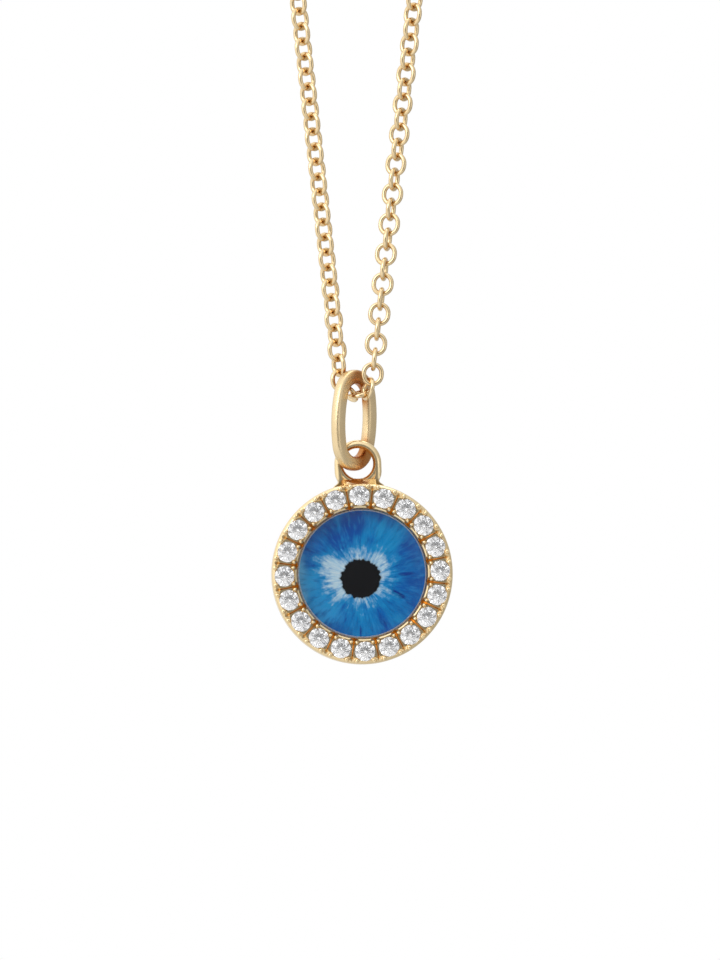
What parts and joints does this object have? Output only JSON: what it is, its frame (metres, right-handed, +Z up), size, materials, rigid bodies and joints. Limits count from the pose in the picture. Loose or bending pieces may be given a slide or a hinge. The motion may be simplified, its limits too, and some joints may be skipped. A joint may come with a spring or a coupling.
{
  "type": "evil eye pendant on a cable chain necklace",
  "caption": "Round gold pendant with a domed blue eye in a halo of small brilliants, hanging from an oval bail on a whole fine round-link cable chain with a ring clasp.",
  "frame": {"origin": "underside of the clasp, where the necklace hangs at the nape", "axes": "+Z up along the hanging necklace, -Y out of the face of the eye, +X to the right as seen from the front"},
  "size_m": [0.0408, 0.0028, 0.2074],
  "materials": {
    "gold_polished": "polished 14 karat yellow gold",
    "gold_satin": "satin 14 karat yellow gold",
    "gold_chain": "polished 14 karat yellow gold",
    "iris_enamel": "painted blue iris under the crystal",
    "eye_crystal": "clear polished crystal",
    "diamond": "cut and polished clear stone"
  },
  "bodies": {
    "chain": {"chain_front": "gold_chain", "chain_back": "gold_chain", "clasp": "gold_polished"},
    "bail": {"bail": "gold_satin"},
    "pendant": {"setting": "gold_polished", "iris": "iris_enamel", "crystal": "eye_crystal", "stone_01": "diamond", "stone_02": "diamond", "stone_03": "diamond", "stone_04": "diamond", "stone_05": "diamond", "stone_06": "diamond", "stone_07": "diamond", "stone_08": "diamond", "stone_09": "diamond", "stone_10": "diamond", "stone_11": "diamond", "stone_12": "diamond", "stone_13": "diamond", "stone_14": "diamond", "stone_15": "diamond", "stone_16": "diamond", "stone_17": "diamond", "stone_18": "diamond", "stone_19": "diamond", "stone_20": "diamond"}
  },
  "joints": [
    {"name": "bail_swing", "type": "hinge", "parent": "chain", "child": "bail", "pos_m": [-0.00007, 0, -0.18777], "axis": [0.766, -0.6428, 0], "range_deg": [-30, 30]},
    {"name": "pendant_swing", "type": "hinge", "parent": "bail", "child": "pendant", "pos_m": [0.00014, 0, -0.19123], "axis": [0, 1, 0], "range_deg": [-40, 40]}
  ]
}
